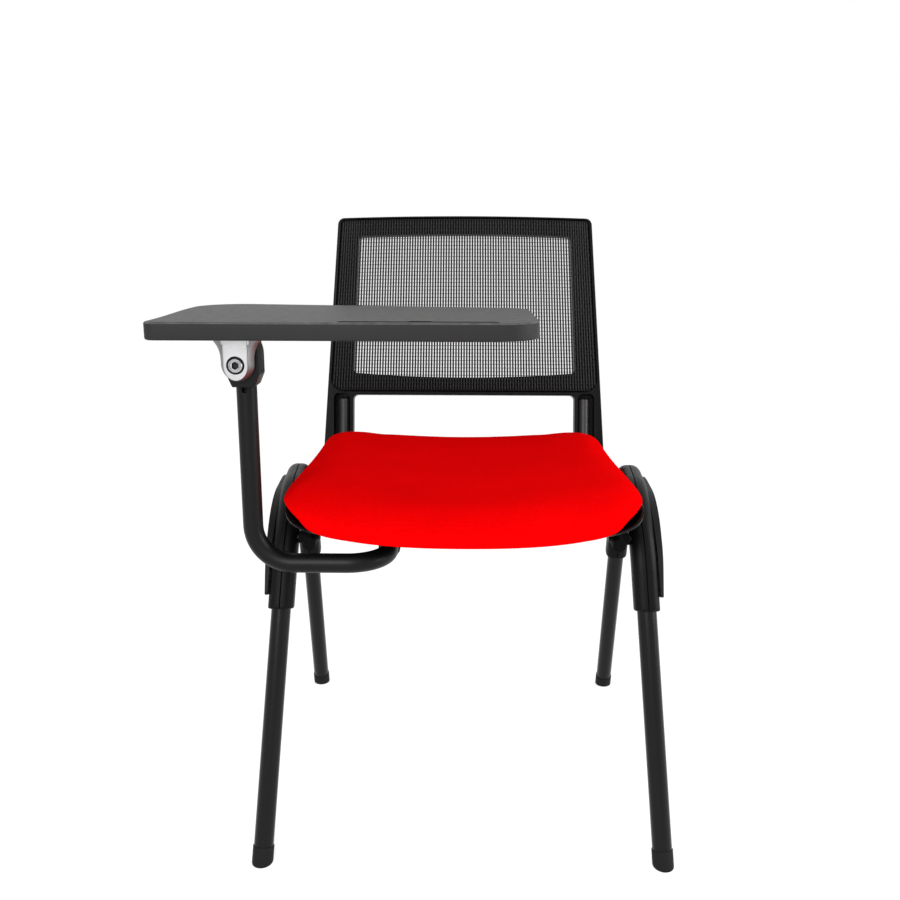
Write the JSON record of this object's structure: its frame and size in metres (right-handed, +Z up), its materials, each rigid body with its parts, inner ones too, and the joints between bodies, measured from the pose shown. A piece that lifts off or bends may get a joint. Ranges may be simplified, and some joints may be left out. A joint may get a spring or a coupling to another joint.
{
  "type": "training chair",
  "caption": "Training chair on four tube legs with moulded side arches, an upholstered seat, a net back on a black frame, and a writing tablet that flips up on a side arm.",
  "frame": {"origin": "on the floor, under the middle of the chair's box", "axes": "the sitter faces -Y, +X is at the sitter's left, +Z is up"},
  "size_m": [0.6422, 0.6714, 0.8556],
  "materials": {
    "black_paint": "satin black powder coat on steel tube",
    "black_plastic": "moulded black plastic, fine matte grain",
    "grey_plastic": "moulded dark grey plastic, fine grain",
    "black_rubber": "matte black",
    "red_cloth": "red woven upholstery cloth over foam",
    "black_net": "open black net",
    "plywood": "raw plywood",
    "cast_aluminium": "satin die casting",
    "bright_steel": "zinc plated",
    "nylon": "natural moulded"
  },
  "bodies": {
    "chair": {"arm_plug": "black_plastic", "arm_tube": "black_paint", "back_frame": "black_plastic", "back_mesh": "black_net", "clamp_screw_1": "bright_steel", "clamp_screw_2": "bright_steel", "clamp_screw_3": "bright_steel", "clamp_screw_4": "bright_steel", "front_arm_clamp": "black_paint", "front_cross_tube": "black_paint", "front_hinge_washer": "nylon", "front_left_foot": "black_rubber", "front_left_leg": "black_paint", "front_left_leg_screw": "bright_steel", "front_left_rail_bolt": "bright_steel", "front_right_foot": "black_rubber", "front_right_leg": "black_paint", "front_right_leg_screw": "bright_steel", "front_right_rail_bolt": "bright_steel", "head_screw": "bright_steel", "hinge_head": "black_plastic", "left_arch_cover": "black_plastic", "left_arch_inner": "black_plastic", "left_arch_outer": "black_plastic", "left_rail": "black_paint", "left_rail_front_plug": "black_plastic", "left_rail_top_plug": "black_plastic", "left_rod_screw": "bright_steel", "mesh_frame": "black_plastic", "rear_arm_clamp": "black_paint", "rear_cross_tube": "black_paint", "rear_hinge_washer": "nylon", "rear_left_foot": "black_rubber", "rear_left_leg": "black_paint", "rear_left_leg_screw": "bright_steel", "rear_left_rail_bolt": "bright_steel", "rear_right_foot": "black_rubber", "rear_right_leg": "black_paint", "rear_right_leg_screw": "bright_steel", "rear_right_rail_bolt": "bright_steel", "right_arch_cover": "black_plastic", "right_arch_inner": "black_plastic", "right_arch_outer": "black_plastic", "right_rail": "black_paint", "right_rail_front_plug": "black_plastic", "right_rail_top_plug": "black_plastic", "right_rod_screw": "bright_steel", "seat_board": "plywood", "seat_cushion": "red_cloth", "seat_screw_1": "bright_steel", "seat_screw_2": "bright_steel", "seat_screw_3": "bright_steel", "seat_screw_4": "bright_steel", "seat_shell": "black_plastic"},
    "tablet": {"tablet_board": "grey_plastic", "tablet_bracket": "cast_aluminium", "front_tablet_screw": "bright_steel", "rear_tablet_screw": "bright_steel", "hinge_bolt": "bright_steel", "hinge_nut": "bright_steel"}
  },
  "joints": [
    {"name": "tablet_flip", "type": "hinge", "parent": "chair", "child": "tablet", "pos_m": [-0.23403, -0.21267, 0.6705], "axis": [0, -1, 0], "range_deg": [0, 100]}
  ]
}
